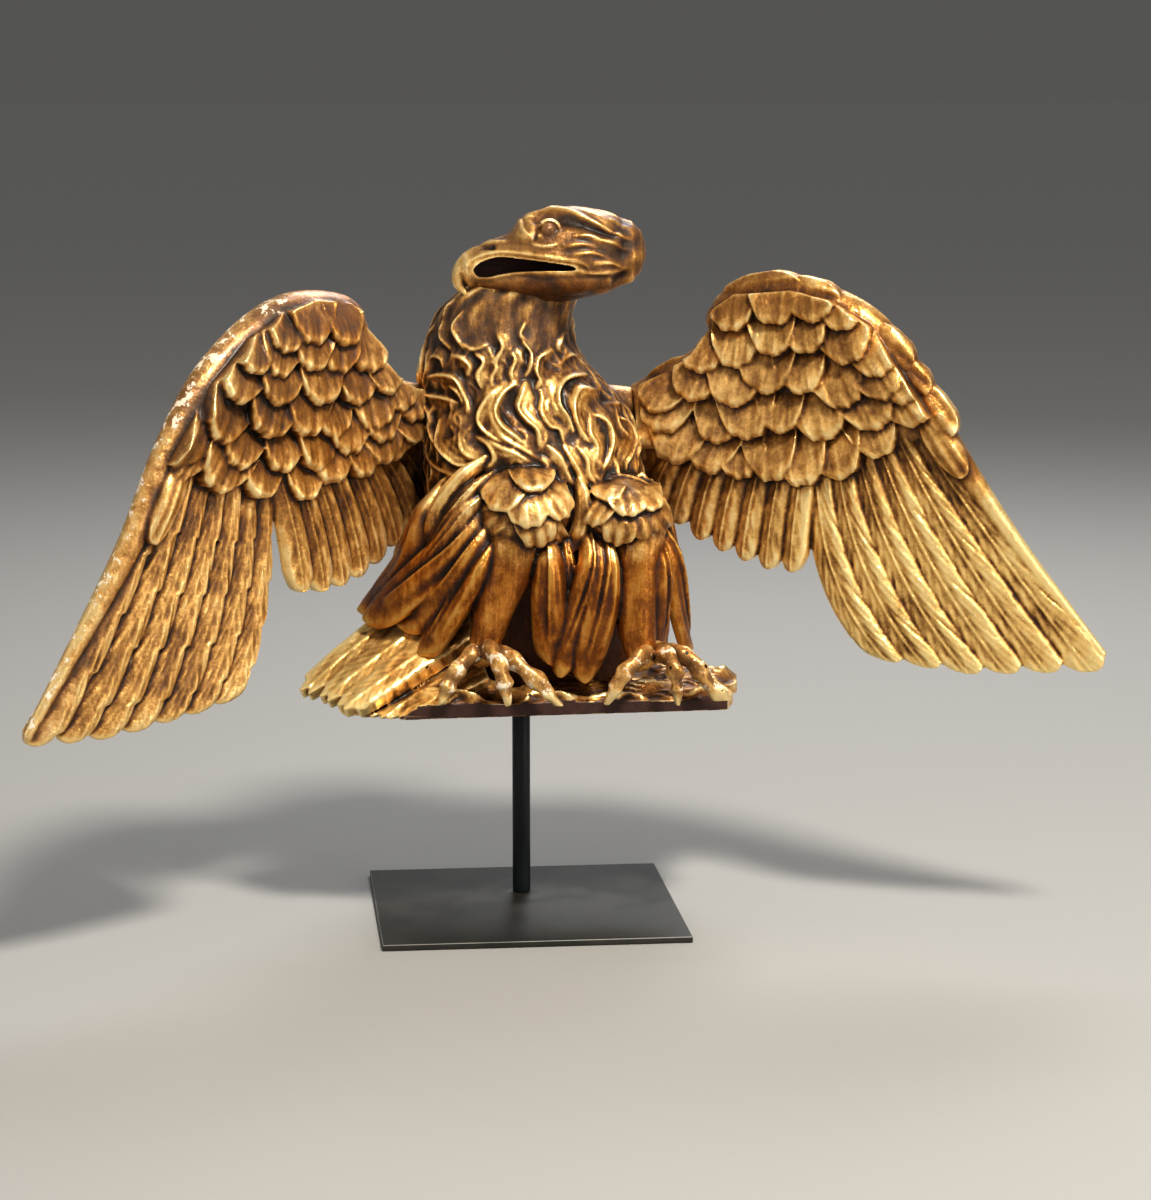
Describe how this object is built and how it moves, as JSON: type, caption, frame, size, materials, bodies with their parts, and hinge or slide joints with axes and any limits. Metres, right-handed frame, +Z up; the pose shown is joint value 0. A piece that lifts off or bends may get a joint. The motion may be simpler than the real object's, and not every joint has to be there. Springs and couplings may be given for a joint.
{
  "type": "carved eagle figure",
  "caption": "Carved and gilded wooden eagle with raised, spread wings on a small rocky base, held up by a round rod on a flat square plate.",
  "frame": {"origin": "centre of the square plate's underside", "axes": "+Z up along the rod, +Y towards the back of the eagle, -Y towards the viewer, X along the plate's front edge"},
  "size_m": [0.5161, 0.2084, 0.3495],
  "materials": {
    "gilded_wood": "worn gold leaf over dark brown wood",
    "rod_steel": "satin blue-black",
    "plate_steel": "satin olive-black"
  },
  "bodies": {
    "root": {"eagle_body": "gilded_wood", "wing_left": "gilded_wood", "wing_right": "gilded_wood", "mount_rod": "rod_steel", "base_plate": "plate_steel"}
  },
  "joints": []
}
